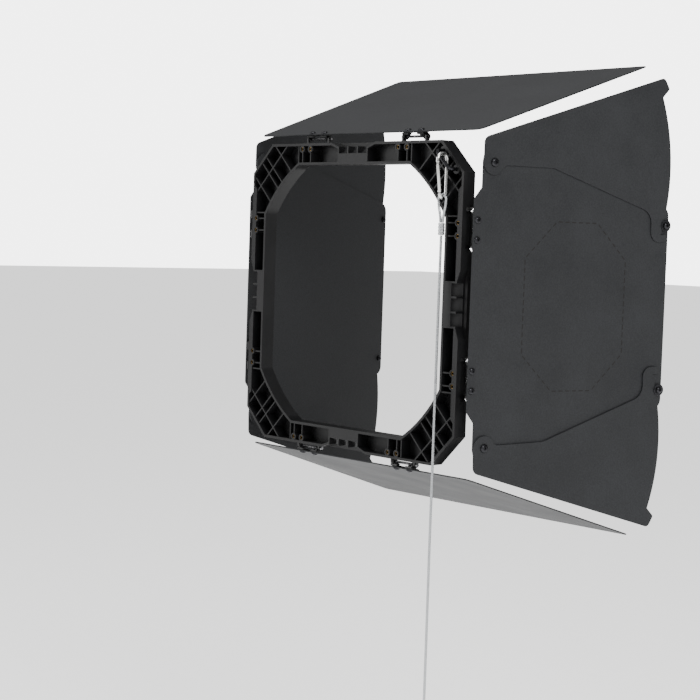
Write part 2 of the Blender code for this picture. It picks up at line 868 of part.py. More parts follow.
def make_wide_door(side, sheet, steel, nickel):
    """The top or bottom door: one sheet on two hinges."""
    anchor = make_anchor(f"{side.name}_hinge_line", side.origin())
    make_sheet(side, wide_outline(), f"{side.name}_door", sheet, anchor, hinge_screw_holes())
    make_hinges(side, steel, nickel, anchor)


# ---------------------------------------------------------------- wings
def wing_outline():
    """A wing drawn round its pivot: x is reach, y is along, away from the middle."""
    arc_points = arc((0, 0), WING_ARC, WING_EAR_ANGLE, WING_TAB_ANGLE, 14)
    start_x, start_y = arc_points[0]
    end_x, end_y = arc_points[-1]
    ear = [
        (-WING_LOBE, 26.1 * MM, 8 * MM),
        (start_x + 1.2 * MM, start_y + 21.9 * MM, 5 * MM),
        (start_x + 8.7 * MM, start_y + 9.7 * MM, 2.5 * MM),
    ]
    nose_x = end_x + WING_NOSE
    tab_x = nose_x - WING_TAB_WIDTH
    tab = [
        (nose_x, end_y + 1.5 * MM, 2 * MM),
        (nose_x, end_y - WING_TAB_DROP, 6 * MM),
        (tab_x, end_y - WING_TAB_DROP - 1.4 * MM, 11 * MM),
        (tab_x, end_y + 24.3 * MM, 16 * MM),
        (76.2 * MM, -2.2 * MM, 20 * MM),
        (WING_LOBE * 1.25, -2.2 * MM, 0),
    ]
    sliding = [(u, v, 0) for u, v in arc_points]
    lobe = [(u, v, 0) for u, v in arc((0, 0), WING_LOBE, -18, -180, 9)]
    return rounded(ear + sliding + tab + lobe)


def make_wing(side, upper, sheet, anchor):
    """One wing, on its own pivot line, just above the door's outer face."""
    hand = side.up if upper else -side.up
    label = "upper" if upper else "lower"
    fold = 0.0 if upper else math.radians(LOWER_WING_FOLD)
    low = PANEL_LIFT + GAP
    spin = Matrix.Rotation(-fold, 2)
    outline = [tuple(spin @ Vector(point)) for point in wing_outline()]

    def place(reach, along, lift):
        return side.door_place(PIVOT_REACH + reach, hand * (PIVOT_ALONG + along), lift)

    name = f"{side.name}_{label}_wing"
    thing = make_object(name, prism(outline, low, low + SHEET, place), sheet)
    drill = bmesh.new()
    along = hand * PIVOT_ALONG
    add_hole(drill, side, PIVOT_REACH, along, PIVOT_RADIUS + GAP, low - SHEET, low + 2 * SHEET)
    cut(thing, make_object("drill", drill, sheet))
    pivot = make_anchor(f"{name}_pivot_line", side.door_place(PIVOT_REACH, along, low))
    hang(pivot, anchor)
    return hang(shade(thing), pivot)


def make_wing_fasteners(side, upper, black, anchor):
    """A pivot screw, and the screw and stepped washer that hold the sliding edge."""
    hand = side.up if upper else -side.up
    name = f"{side.name}_{'upper' if upper else 'lower'}_wing"
    out = side.outward()
    wing_top = PANEL_LIFT + GAP + SHEET
    tips = PANEL_LIFT - SHEET - SCREW_TAIL
    socket = PIVOT_HEAD * SOCKET_SHARE
    pivot = screw_profile(
        PIVOT_HEAD, PIVOT_HEAD_HEIGHT, PIVOT_RADIUS, wing_top + GAP - tips, socket
    )
    screw = bmesh.new()
    seat = side.door_place(PIVOT_REACH, hand * PIVOT_ALONG, wing_top + GAP)
    add_turned(screw, pivot, seat, out, DISC_SEGMENTS)
    hang(shade(make_object(f"{name}_pivot_screw", screw, black)), anchor)

    reach, along = guide_place()
    collar_low = PANEL_LIFT + GAP
    flange_low = wing_top + GAP
    flange_high = flange_low + GUIDE_FLANGE_THICKNESS
    inner = GUIDE_SCREW_RADIUS + GAP
    washer = [
        (inner, collar_low),
        (GUIDE_COLLAR, collar_low),
        (GUIDE_COLLAR, flange_low),
        (GUIDE_FLANGE, flange_low),
        (GUIDE_FLANGE, flange_high),
        (inner, flange_high),
    ]
    disc = bmesh.new()
    add_turned(disc, washer, side.door_place(reach, hand * along, 0), out, DISC_SEGMENTS)
    hang(shade(make_object(f"{name}_guide_washer", disc, black)), anchor)

    guide_head = flange_high + GAP
    socket = GUIDE_HEAD * SOCKET_SHARE
    guide = screw_profile(
        GUIDE_HEAD, GUIDE_HEAD_HEIGHT, GUIDE_SCREW_RADIUS, guide_head - tips, socket
    )
    screw = bmesh.new()
    seat = side.door_place(reach, hand * along, guide_head)
    add_turned(screw, guide, seat, out, DISC_SEGMENTS)
    hang(shade(make_object(f"{name}_guide_screw", screw, black)), anchor)


def make_side_door(side, sheet, steel, nickel, black):
    """A side door: its panel, two hinges and two wings."""
    anchor = make_anchor(f"{side.name}_hinge_line", side.origin())
    holes = hinge_screw_holes()
    reach, along = guide_place()
    for hand in (-1, 1):
        holes.append((PIVOT_REACH, hand * PIVOT_ALONG, PIVOT_RADIUS + GAP))
        holes.append((reach, hand * along, GUIDE_SCREW_RADIUS + GAP))
    make_sheet(side, side_outline(), f"{side.name}_door", sheet, anchor, holes)
    make_hinges(side, steel, nickel, anchor)
    for upper in (True, False):
        make_wing(side, upper, sheet, anchor)
        make_wing_fasteners(side, upper, black, anchor)


# ---------------------------------------------------------------- safety cable
def make_bail(steel, black):
    """A U-bolt across the corner of the frame, for the cable's snap hook."""
    slant = math.sqrt(2) * BAIL_HALF
    front = FRAME_DEPTH + GAP + BAIL_NUT_HEIGHT + BAIL_ROD / 2
    half = [(-slant, front)]
    half += arc(
        (-slant + BAIL_BEND, -BAIL_STAND + BAIL_BEND), BAIL_BEND, 180, 270, 5
    )
    path = half + [(-u, v) for u, v in reversed(half)]
    step = 1 / math.sqrt(2)
    points = [
        (BAIL_MIDDLE + across * step, forward, BAIL_MIDDLE - across * step)
        for across, forward in path
    ]
    make_tube("safety_bail", points, BAIL_ROD, steel)
    profile = ring_profile(BAIL_ROD + GAP, BAIL_NUT, 0, BAIL_NUT_HEIGHT)
    for number, (u, v) in enumerate(bail_feet(), start=1):
        nut = bmesh.new()
        add_turned(nut, profile, (u, FRAME_DEPTH + GAP, v), (0, 1, 0), 6)
        make_object(f"safety_bail_nut_{number}", nut, black)


def hook_point(top, across, down):
    """A snap hook lies in the Y-Z plane; across is +Y, down is -Z."""
    return (top[0], top[1] + across, top[2] - down)


def hook_shape():
    """Places in a hook's own plane, down from the middle of its top arc."""
    wide = HOOK_WIDE_RADIUS
    narrow = HOOK_NARROW_RADIUS
    nose = (-wide, wide + 3 * MM)
    pivot = (HOOK_LEAN - narrow, wide + HOOK_CENTRES - GATE_RADIUS - GAP)
    return wide, narrow, nose, pivot


def make_hook(name, top, chrome, flip=False):
    """The bent wire of a snap hook, from its nose round to its gate pivot."""
    wide, narrow, nose, _ = hook_shape()
    down = -1 if flip else 1
    points = [nose]
    points += [(u, wide - v) for u, v in arc((0, 0), wide, 180, 0, 10)]
    centre = (HOOK_LEAN, wide + HOOK_CENTRES)
    points += [(centre[0] + u, centre[1] - v) for u, v in arc((0, 0), narrow, 0, -180, 8)]
    world = [hook_point(top, across, down * depth) for across, depth in points]
    return make_tube(name, world, HOOK_WIRE, chrome)


def make_gate(name, top, chrome, flip=False):
    """The sprung gate between the hook's pivot and its nose."""
    _, _, nose, pivot = hook_shape()
    down = -1 if flip else 1
    start = Vector(hook_point(top, pivot[0], down * pivot[1]))
    end = Vector(hook_point(top, nose[0], down * nose[1]))
    length = (end - start).length - 2 * GAP
    profile = [(0, -GATE_RADIUS)]
    profile += [(u, v) for u, v in arc((0, 0), GATE_RADIUS, -60, 0, 2)]
    profile += [(GATE_RADIUS, length), (0, length)]
    body = bmesh.new()
    add_turned(body, profile, start, end - start, LOW_SEGMENTS)
    anchor = make_anchor(f"{name}_pivot_line", start)
    return hang(shade(make_object(name, body, chrome)), anchor)


def make_eye(name, tip, down, wire):
    """A teardrop loop of cable that runs back into its ferrule."""
    length = EYE_LENGTH - EYE_RADIUS
    curve = arc((0, 0), EYE_RADIUS, 200, -20, 12)
    left = [(-EYE_LEG, length), (-EYE_LEG, length - 2 * MM)]
    left += [(-EYE_LEG - 0.9 * MM, length - 8 * MM), (-EYE_RADIUS + 1.0 * MM, length - 17 * MM)]
    right = [(-u, v) for u, v in reversed(left)]
    flat = left + [(u, -v) for u, v in curve] + right
    points = []
    for across, depth in flat:
        height = tip[2] - down * (depth + EYE_RADIUS)
        points.append((tip[0] + across, tip[1], height))
    return make_tube(name, points, CABLE_RADIUS, wire)


def make_ferrule(name, middle, low, aluminium):
    """The crimped sleeve; the cable's end and the eye meet its two faces."""
    profile = [
        (0, 0),
        (FERRULE_RADIUS * 0.85, 0),
        (FERRULE_RADIUS, 1 * MM),
        (FERRULE_RADIUS, FERRULE_LENGTH - 1 * MM),
        (FERRULE_RADIUS * 0.85, FERRULE_LENGTH),
        (0, FERRULE_LENGTH),
    ]
    body = bmesh.new()
    add_turned(body, profile, (middle[0], middle[1], low), (0, 0, 1), DISC_SEGMENTS)
    return shade(make_object(name, body, aluminium))


def make_safety_cable(steel, black, chrome, wire, aluminium):
    """Bail, hook, eye, ferrule, cable, and the same again at the free end."""
    make_bail(steel, black)
    top_y = -BAIL_STAND
    rest = (BAIL_ROD + HOOK_WIRE + GAP) * math.sqrt(2)  # the bar slants across the hook
    upper_top = (BAIL_MIDDLE, top_y, BAIL_MIDDLE + rest)
    make_hook("upper_snap_hook", upper_top, chrome)
    make_gate("upper_hook_gate", upper_top, chrome)
    hook_length = HOOK_WIDE_RADIUS + HOOK_CENTRES + HOOK_NARROW_RADIUS
    seat = hook_length - HOOK_WIRE - CABLE_RADIUS - GAP
    eye_tip = (BAIL_MIDDLE, top_y + HOOK_LEAN, upper_top[2] - seat)
    make_eye("upper_cable_eye", eye_tip, 1, wire)
    start = Vector(CABLE_ROUTE[0])
    end = Vector(CABLE_ROUTE[-1])
    make_ferrule("upper_ferrule", start, start.z + GAP, aluminium)
    make_tube("safety_cable", smooth_path(CABLE_ROUTE, CABLE_STEPS), CABLE_RADIUS, wire)
    make_ferrule("lower_ferrule", end, end.z - GAP - FERRULE_LENGTH, aluminium)
    lower_eye = end.z - FERRULE_LENGTH - 2 * GAP - EYE_LENGTH
    make_eye("lower_cable_eye", (end.x, end.y, lower_eye), -1, wire)
    reach = HOOK_WIRE + CABLE_RADIUS + GAP
    narrow_end = lower_eye + reach
    hook_top = (end.x, end.y - HOOK_LEAN, narrow_end - hook_length)
    make_hook("lower_snap_hook", hook_top, chrome, flip=True)
    make_gate("lower_hook_gate", hook_top, chrome, flip=True)


def main():
    clear_scene()
    nylon = make_material("black_moulded_nylon", (0.012, 0.012, 0.013), 0.0, 0.5)
    sheet = make_material("black_coated_sheet", (0.04, 0.04, 0.042), 0.0, 0.55)
    steel = make_material("black_steel", (0.02, 0.02, 0.02), 0.6, 0.45)
    black = make_material("black_oxide", (0.015, 0.015, 0.015), 0.8, 0.4)
    nickel = make_material("bright_nickel", (0.75, 0.73, 0.7), 1.0, 0.2)
    chrome = make_material("chromed_wire", (0.8, 0.8, 0.8), 1.0, 0.12)
    wire = make_material("wire_rope", (0.55, 0.56, 0.57), 1.0, 0.35)
    aluminium = make_material("crimped_aluminium", (0.7, 0.71, 0.72), 1.0, 0.35)
    make_frame(nylon)
    top = Side("top", -1, TOP_HINGE_Y, TOP_FLARE)
    bottom = Side("bottom", 1, TOP_HINGE_Y, BOTTOM_FLARE)
    right = Side("right", 0, SIDE_HINGE_Y, RIGHT_FLARE)
    left = Side("left", 2, SIDE_HINGE_Y, LEFT_FLARE)
    for side in (top, bottom):
        make_wide_door(side, sheet, steel, nickel)
    for side in (right, left):
        make_side_door(side, sheet, steel, nickel, black)
    make_safety_cable(steel, black, chrome, wire, aluminium)


main()
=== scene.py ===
# %% [markdown]
# # Barn doors for a Fresnel stage light
# A moulded nylon frame carries four doors of black sheet on small steel hinges.
# The two side doors have folding wings, and a wire safety cable hangs from one
# corner.  The solid model is already made and is loaded first as a fixed frame.
# This file dresses it: fine edges, fasteners, wire strands and finishes.

# %% Load the solid model
import json
import math

import bmesh
import bpy
from mathutils import Matrix, Vector


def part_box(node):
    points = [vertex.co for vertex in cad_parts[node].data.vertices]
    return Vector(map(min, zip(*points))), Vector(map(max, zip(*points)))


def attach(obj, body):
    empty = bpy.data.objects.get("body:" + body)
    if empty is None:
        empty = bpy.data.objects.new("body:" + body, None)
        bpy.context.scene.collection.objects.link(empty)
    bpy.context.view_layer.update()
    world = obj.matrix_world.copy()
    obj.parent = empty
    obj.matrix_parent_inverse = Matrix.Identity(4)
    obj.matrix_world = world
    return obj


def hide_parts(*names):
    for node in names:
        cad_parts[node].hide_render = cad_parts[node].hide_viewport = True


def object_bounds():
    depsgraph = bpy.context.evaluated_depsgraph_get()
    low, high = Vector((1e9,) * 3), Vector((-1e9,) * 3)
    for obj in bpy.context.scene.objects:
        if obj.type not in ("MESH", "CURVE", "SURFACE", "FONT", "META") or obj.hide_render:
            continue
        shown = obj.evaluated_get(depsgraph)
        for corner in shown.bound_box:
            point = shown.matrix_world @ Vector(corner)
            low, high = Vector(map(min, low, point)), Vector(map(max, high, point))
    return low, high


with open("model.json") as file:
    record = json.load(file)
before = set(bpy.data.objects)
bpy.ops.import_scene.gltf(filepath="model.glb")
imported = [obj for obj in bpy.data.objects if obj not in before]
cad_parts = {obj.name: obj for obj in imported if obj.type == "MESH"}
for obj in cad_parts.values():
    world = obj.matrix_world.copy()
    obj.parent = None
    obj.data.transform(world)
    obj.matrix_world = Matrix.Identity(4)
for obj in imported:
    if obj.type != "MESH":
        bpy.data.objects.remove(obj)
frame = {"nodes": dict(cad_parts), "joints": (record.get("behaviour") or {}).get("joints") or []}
nodes = frame["nodes"]
joints = {joint["name"]: joint for joint in frame["joints"]}
CAD_BOX = [list(corner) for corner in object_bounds()]
MM = 0.001
GAP = 0.3 * MM
print("nodes:", len(nodes), "joints:", len(joints))

# %% [markdown]
# ## Camera
# The camera stands behind the light, to its right and a little above its middle.
# A long lens keeps the doors' proportions calm.  It has no blur, so that every
# part stays sharp.

# %% Camera
camera_data = bpy.data.cameras.new("camera")
camera_data.sensor_width = 36
camera_data.lens = 86.32
camera = bpy.data.objects.new("camera", camera_data)
camera.location = (1.4056, -1.2841, 0.0698)
camera.rotation_euler = [math.radians(angle) for angle in (86.101, -1.899, 47.576)]
bpy.context.scene.collection.objects.link(camera)
bpy.context.scene.camera = camera
print("camera at", tuple(camera.location))

# %% [markdown]
# ## Helpers for shapes
# Every new piece is built at its final place, and its object stays at the
# origin.  A piece that turns is named with the body that carries it.


# %% Helpers for shapes
WELD = 0.01 * MM


def finish_piece(name, shape, material, body, replaced=(), angle=30):
    """Make a bmesh into a smooth-shaded piece that rides on a body."""
    bmesh.ops.recalc_face_normals(shape, faces=shape.faces)
    mesh = bpy.data.meshes.new(name)
    shape.to_mesh(mesh)
    shape.free()
    mesh.shade_smooth()
    mesh.set_sharp_from_angle(angle=math.radians(angle))
    return place_piece(name, mesh, material, body, replaced)


def place_piece(name, mesh, material, body, replaced=()):
    mesh.materials.clear()
    mesh.materials.append(material)
    piece = bpy.data.objects.new(name, mesh)
    bpy.context.scene.collection.objects.link(piece)
    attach(piece, body)
    if replaced:
        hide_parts(*replaced)
    return piece


def put(shape, new_verts, origin, direction):
    """Move vertices made round the Z axis to a point, with Z along a direction."""
    turn = Vector((0, 0, 1)).rotation_difference(Vector(direction)).to_matrix()
    matrix = Matrix.Translation(Vector(origin)) @ turn.to_4x4()
    bmesh.ops.transform(shape, matrix=matrix, verts=new_verts)


def spin_profile(shape, profile, steps, closed=False):
    """Turn a profile of (radius, height) points about Z; give the new vertices."""
    before = set(shape.verts)
    points = [shape.verts.new((radius, 0, height)) for radius, height in profile]
    edges = [shape.edges.new(pair) for pair in zip(points, points[1:])]
    if closed:
        edges.append(shape.edges.new((points[-1], points[0])))
    bmesh.ops.spin(
        shape,
        geom=points + edges,
        cent=(0, 0, 0),
        axis=(0, 0, 1),
        angle=math.tau,
        steps=steps,
        use_merge=True,
    )
    made = [vert for vert in shape.verts if vert not in before]
    bmesh.ops.remove_doubles(shape, verts=made, dist=WELD)
    return [vert for vert in shape.verts if vert not in before]


def lathe(shape, profile, origin, direction, steps=32):
    """Turn a profile about a line; one that leaves a bore open is closed first."""
    bored = profile[0][0] > 0 and profile[-1][0] > 0
    made = spin_profile(shape, profile, steps, closed=bored)
    put(shape, made, origin, direction)


def loop_edges(ring):
    """The edges that join a ring's own vertices."""
    edges = {edge for vert in ring for edge in vert.link_edges}
    return [edge for edge in edges if all(vert in ring for vert in edge.verts)]


# %% [markdown]
# ## Helpers for finishes
# Colours are written as sRGB hex values, as a colour picker shows them, and one
# function turns them to the linear values that a shader works with.  One small
# function adds a node, sets it and links it.


# %% Helpers for finishes
def linear(code):
    """An sRGB hex colour as linear red, green, blue and alpha."""
    channels = [int(code[start : start + 2], 16) / 255 for start in (1, 3, 5)]
    return tuple(
        value / 12.92 if value <= 0.04045 else ((value + 0.055) / 1.055) ** 2.4
        for value in channels
    ) + (1.0,)


def add_node(material, kind, values=None, **settings):
    """Add a node; values sets its inputs, and an output given there is linked."""
    tree = material.node_tree
    made = tree.nodes.new(kind)
    for name, value in settings.items():
        setattr(made, name, value)
    for name, value in (values or {}).items():
        socket = made.inputs[name]
        if isinstance(value, bpy.types.NodeSocket):
            tree.links.new(value, socket)
        else:
            socket.default_value = value
    return made


def start_material(name, **sockets):
    """A material with its shader, whose uniform values are set here."""
    material = bpy.data.materials.new(name)
    material.use_nodes = True
    shader = material.node_tree.nodes["Principled BSDF"]
    for socket, value in sockets.items():
        shader.inputs[socket.replace("_", " ")].default_value = value
    return material, shader


def connect(material, output, socket):
    material.node_tree.links.new(output, socket)


def object_coordinates(material):
    return add_node(material, "ShaderNodeTexCoord").outputs["Object"]


def noise(material, size_mm, detail=2.0, roughness=0.5, coordinates=None):
    """Noise whose grains are about size_mm across."""
    coordinates = coordinates or object_coordinates(material)
    values = {"Vector": coordinates, "Scale": 1000 / size_mm}
    values.update({"Detail": detail, "Roughness": roughness})
    return add_node(material, "ShaderNodeTexNoise", values).outputs["Fac"]


def colour_between(material, factor, low, high, spread=(0.35, 0.65)):
    ramp = add_node(material, "ShaderNodeValToRGB", {"Fac": factor})
    ramp.color_ramp.elements[0].position = spread[0]
    ramp.color_ramp.elements[0].color = linear(low)
    ramp.color_ramp.elements[1].position = spread[1]
    ramp.color_ramp.elements[1].color = linear(high)
    return ramp.outputs["Color"]


def number_between(material, factor, low, high):
    values = {"Value": factor, "To Min": low, "To Max": high}
    values.update({"From Min": 0.3, "From Max": 0.7})
    return add_node(material, "ShaderNodeMapRange", values).outputs["Result"]


def bump(material, height, depth_mm, strength=1.0):
    values = {"Height": height, "Distance": depth_mm * MM, "Strength": strength}
    return add_node(material, "ShaderNodeBump", values).outputs["Normal"]


# %% [markdown]
# ## Powder coat
# The doors are thin sheet with a matt black powder coat.  Powder melts into a
# fine, even orange-peel grain, so the sheet reads as dark grey with a soft sheen
# and not as a mirror.  A second, much larger noise gives the faint cloudiness
# that handling leaves.


# %% Powder coat
def powder_coat():
    material, shader = start_material("powder coated sheet", Metallic=0.0, IOR=1.34)
    grain = noise(material, 1.1, detail=3.0)
    clouds = noise(material, 70, detail=5.0, roughness=0.65)
    speckle = noise(material, 1.6, detail=2.0)
    mottled = add_node(material, "ShaderNodeMath", {0: clouds, 1: speckle}, operation="ADD")
    halved = {0: mottled.outputs[0], 1: 0.5}
    half = add_node(material, "ShaderNodeMath", halved, operation="MULTIPLY")
    colour = colour_between(material, half.outputs[0], "#1d1e20", "#28292b", (0.38, 0.62))
    connect(material, colour, shader.inputs["Base Color"])
    rough = number_between(material, clouds, 0.52, 0.64)
    connect(material, rough, shader.inputs["Roughness"])
    connect(material, bump(material, grain, 0.06, 0.6), shader.inputs["Normal"])
    return material


COAT = powder_coat()

# %% [markdown]
# ## Moulded nylon
# The frame is injection-moulded, glass-filled nylon: black, satin, with a fine
# spark-eroded grain from the mould and slightly duller hollows.


# %% Moulded nylon
def moulded_nylon():
    material, shader = start_material("glass filled nylon", Metallic=0.0, IOR=1.35)
    grain = noise(material, 0.7, detail=4.0, roughness=0.6)
    flow = noise(material, 40, detail=2.0)
    colour = colour_between(material, flow, "#0d0d0e", "#131314")
    connect(material, colour, shader.inputs["Base Color"])
    rough = number_between(material, grain, 0.36, 0.5)
    connect(material, rough, shader.inputs["Roughness"])
    connect(material, bump(material, grain, 0.04, 0.5), shader.inputs["Normal"])
    return material


NYLON = moulded_nylon()

# %% [markdown]
# ## Metal parts
# The hinge leaves are pressed steel under a thin satin black coat.  The screws
# are blackened steel, which stays metallic and a little oily.  The pins are
# plain turned steel, and the inserts brass.  The cable's wire, sleeves and
# hooks are zinc, aluminium and nickel plate.


# %% Metal parts
def coated_steel():
    material, shader = start_material("satin black steel", Metallic=0.0, IOR=1.5)
    patches = noise(material, 6, detail=4.0)
    colour = colour_between(material, patches, "#0e0e0f", "#151516")
    connect(material, colour, shader.inputs["Base Color"])
    rough = number_between(material, patches, 0.3, 0.42)
    connect(material, rough, shader.inputs["Roughness"])
    fine = noise(material, 0.8, detail=2.0)
    connect(material, bump(material, fine, 0.02, 0.4), shader.inputs["Normal"])
    return material


def bare_metal(name, low, high, smooth, dull, grain_mm):
    """A metal with a little colour and gloss variation from its making."""
    material, shader = start_material(name, Metallic=1.0)
    grain = noise(material, grain_mm, detail=4.0, roughness=0.6)
    colour = colour_between(material, grain, low, high)
    connect(material, colour, shader.inputs["Base Color"])
    rough = number_between(material, grain, smooth, dull)
    connect(material, rough, shader.inputs["Roughness"])
    connect(material, bump(material, grain, 0.01, 0.3), shader.inputs["Normal"])
    return material


STEEL = coated_steel()
BLACK_OXIDE = bare_metal("black oxide steel", "#2b2b2d", "#3a3a3d", 0.28, 0.42, 2.0)
PIN_STEEL = bare_metal("turned steel", "#8c8c8e", "#a2a2a4", 0.22, 0.34, 1.5)
BRASS = bare_metal("turned brass", "#6a5634", "#86704a", 0.35, 0.5, 1.5)
CHROME = bare_metal("nickel plate", "#c4c4c2", "#d8d8d6", 0.12, 0.2, 8.0)
ALUMINIUM = bare_metal("crimped aluminium", "#a9abad", "#c3c5c7", 0.3, 0.45, 1.2)
ZINC = bare_metal("galvanised wire", "#9c9ea0", "#bcbec0", 0.3, 0.45, 1.0)

# %% [markdown]
# ## Safety cable
# A wire rope is six strands laid round a core.  At this size the strands show as
# slanted ridges, so the rope is swept as a six-lobed section that turns as it
# goes.  The rope hangs from the upper ferrule in one gentle curve.

# %% Safety cable
CABLE_RADIUS = 1.5 * MM
STRANDS = 6
LAY_LENGTH = 20 * MM
STATIONS_PER_LAY = 14
GROOVE = 0.16
GROOVE_WIDTH = 0.7
CABLE_ROUTE = [
    (0.1535, -0.0090, 0.0732),
    (0.1535, -0.0090, 0.0600),
    (0.1536, -0.0092, 0.0300),
    (0.1541, -0.0098, -0.0050),
    (0.1549, -0.0107, -0.0450),
    (0.1558, -0.0116, -0.0900),
    (0.1565, -0.0123, -0.1350),
    (0.1569, -0.0127, -0.1800),
    (0.1569, -0.0128, -0.2250),
    (0.1566, -0.0125, -0.2700),
    (0.1561, -0.0118, -0.3150),
    (0.1554, -0.0110, -0.3550),
    (0.1547, -0.0102, -0.3950),
    (0.1541, -0.0096, -0.4250),
    (0.1537, -0.0092, -0.4460),
    (0.1535, -0.0090, -0.4584),
    (0.1535, -0.0090, -0.4684),
]


def smooth_path(route, steps):
    """A Catmull-Rom curve through the route's points."""
    points = [Vector(point) for point in route]
    padded = [points[0] * 2 - points[1]] + points + [points[-1] * 2 - points[-2]]
    result = []
    for index in range(1, len(padded) - 2):
        a, b, c, d = padded[index - 1 : index + 3]
        for step in range(steps):
            t = step / steps
            even = 2 * b + (c - a) * t
            square = (2 * a - 5 * b + 4 * c - d) * t**2
            cube = (3 * b - a - 3 * c + d) * t**3
            result.append(0.5 * (even + square + cube))
    result.append(points[-1])
    return result


def resample(points, spacing):
    """The same line with points evenly spaced along it."""
    total = sum((b - a).length for a, b in zip(points, points[1:]))
    count = max(2, round(total / spacing))
    result = [points[0].copy()]
    walked = 0.0
    target = total / count
    for a, b in zip(points, points[1:]):
        length = (b - a).length
        while walked + length >= target - 1e-9 and len(result) < count:
            result.append(a.lerp(b, (target - walked) / length))
            target += total / count
        walked += length
    result.append(points[-1].copy())
    return result


def rope(shape, points, radius, section=24):
    """Sweep the lobed section of a wire rope along a path, turning as it goes."""
    path = resample(points, LAY_LENGTH / STATIONS_PER_LAY)
    ring_edges = None
    side = (path[1] - path[0]).orthogonal().normalized()
    walked = 0.0
    for index, point in enumerate(path):
        ahead = path[min(index + 1, len(path) - 1)] - path[max(index - 1, 0)]
        ahead.normalize()
        side = (side - ahead * side.dot(ahead)).normalized()
        other = ahead.cross(side)
        turn = math.tau * walked / LAY_LENGTH
        made = bmesh.ops.create_circle(shape, segments=section, radius=1.0)["verts"]
        for number, vert in enumerate(made):
            angle = math.tau * number / section
            lobe = 1 - GROOVE * (0.5 - 0.5 * math.cos(STRANDS * angle)) ** GROOVE_WIDTH
            reach = radius * lobe
            across = side * math.cos(angle + turn) + other * math.sin(angle + turn)
            vert.co = point + across * reach
        edges = loop_edges(made)
        if ring_edges is None:
            shape.faces.new(made)
        else:
            bmesh.ops.bridge_loops(shape, edges=ring_edges + edges)
        ring_edges = edges
        if index + 1 < len(path):
            walked += (path[index + 1] - point).length
        last = made
    shape.faces.new(last)


cable_path = smooth_path(CABLE_ROUTE, 12)
shape = bmesh.new()
rope(shape, cable_path, CABLE_RADIUS)
cable = finish_piece(
    "safety_cable_rope", shape, ZINC, "root", ["safety_cable"], 60
)

# %% [markdown]
# ## Eyes of the cable
# Each end of the rope turns back on itself into a teardrop loop, and both legs
# go into a pressed sleeve.  The loops are the same rope, swept along a path of
# an arc and two legs that close in.

# %% Eyes of the cable
EYE_RADIUS = 5.8 * MM
EYE_LENGTH = 30 * MM
EYE_LEG = 1.75 * MM


def eye_path(tip, down):
    """The loop's line: in along one leg, round the arc, out along the other."""
    length = EYE_LENGTH - EYE_RADIUS
    left = [(-EYE_LEG, length), (-EYE_LEG, length - 2 * MM)]
    left.append((-EYE_LEG - 0.9 * MM, length - 8 * MM))
    left.append((-EYE_RADIUS + 1.0 * MM, length - 17 * MM))
    turns = [math.radians(200 - 220 * step / 12) for step in range(13)]
    over = [(EYE_RADIUS * math.cos(a), -EYE_RADIUS * math.sin(a)) for a in turns]
    flat = left + over + [(-u, v) for u, v in reversed(left)]
    return [
        (tip[0] + u, tip[1], tip[2] - down * (v + EYE_RADIUS)) for u, v in flat
    ]


def eye_tip(node, down):
    low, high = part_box(node)
    middle = (low + high) / 2
    height = high.z - CABLE_RADIUS if down > 0 else low.z + CABLE_RADIUS
    return (middle.x, middle.y, height)


for end, down in (("upper", 1), ("lower", -1)):
    shape = bmesh.new()
    tip = eye_tip(f"{end}_cable_eye", down)
    rope(shape, smooth_path(eye_path(tip, down), 3), CABLE_RADIUS)
    name, solid = f"{end}_cable_loop", f"{end}_cable_eye"
    finish_piece(name, shape, ZINC, "root", [solid], 60)

# %% [markdown]
# ## Ferrules
# The sleeves are soft aluminium, pressed in a die that leaves a flat land and a
# rounded lip at each end, with three shallow crimps between.

# %% Ferrules
FERRULE_CRIMPS = 3


def ferrule_profile(radius, length):
    """Up the outside of a sleeve, from the middle of one end to the other."""
    points = [(0, 0), (radius * 0.8, 0), (radius, 0.6 * MM)]
    land = (length - 2.4 * MM) / FERRULE_CRIMPS
    for crimp in range(FERRULE_CRIMPS):
        start = 1.2 * MM + crimp * land
        points.append((radius, start + 0.25 * land))
        points.append((radius * 0.9, start + 0.4 * land))
        points.append((radius * 0.9, start + 0.6 * land))
        points.append((radius, start + 0.75 * land))
    points += [(radius, length - 0.6 * MM), (radius * 0.8, length), (0, length)]
    return points


for end in ("upper", "lower"):
    low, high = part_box(f"{end}_ferrule")
    shape = bmesh.new()
    profile = ferrule_profile((high.x - low.x) / 2, high.z - low.z)
    base = ((low.x + high.x) / 2, (low.y + high.y) / 2, low.z)
    lathe(shape, profile, base, (0, 0, 1), 40)
    name, solid = f"{end}_sleeve", f"{end}_ferrule"
    finish_piece(name, shape, ALUMINIUM, "root", [solid])

# %% [markdown]
# ## Snap hooks
# Each hook is bent from one rod.  It is swept as a round tube along the same
# line as the solid, with a rounded nose, and a straight sprung gate closes it.

# %% Snap hooks
HOOK_WIRE = 2 * MM
WIDE = 7 * MM
NARROW = 4.6 * MM
CENTRES = 35 * MM
LEAN = 2 * MM
NOSE_LENGTH = 3 * MM
GATE = 1.8 * MM
RIVET_HALF = 2.3 * MM


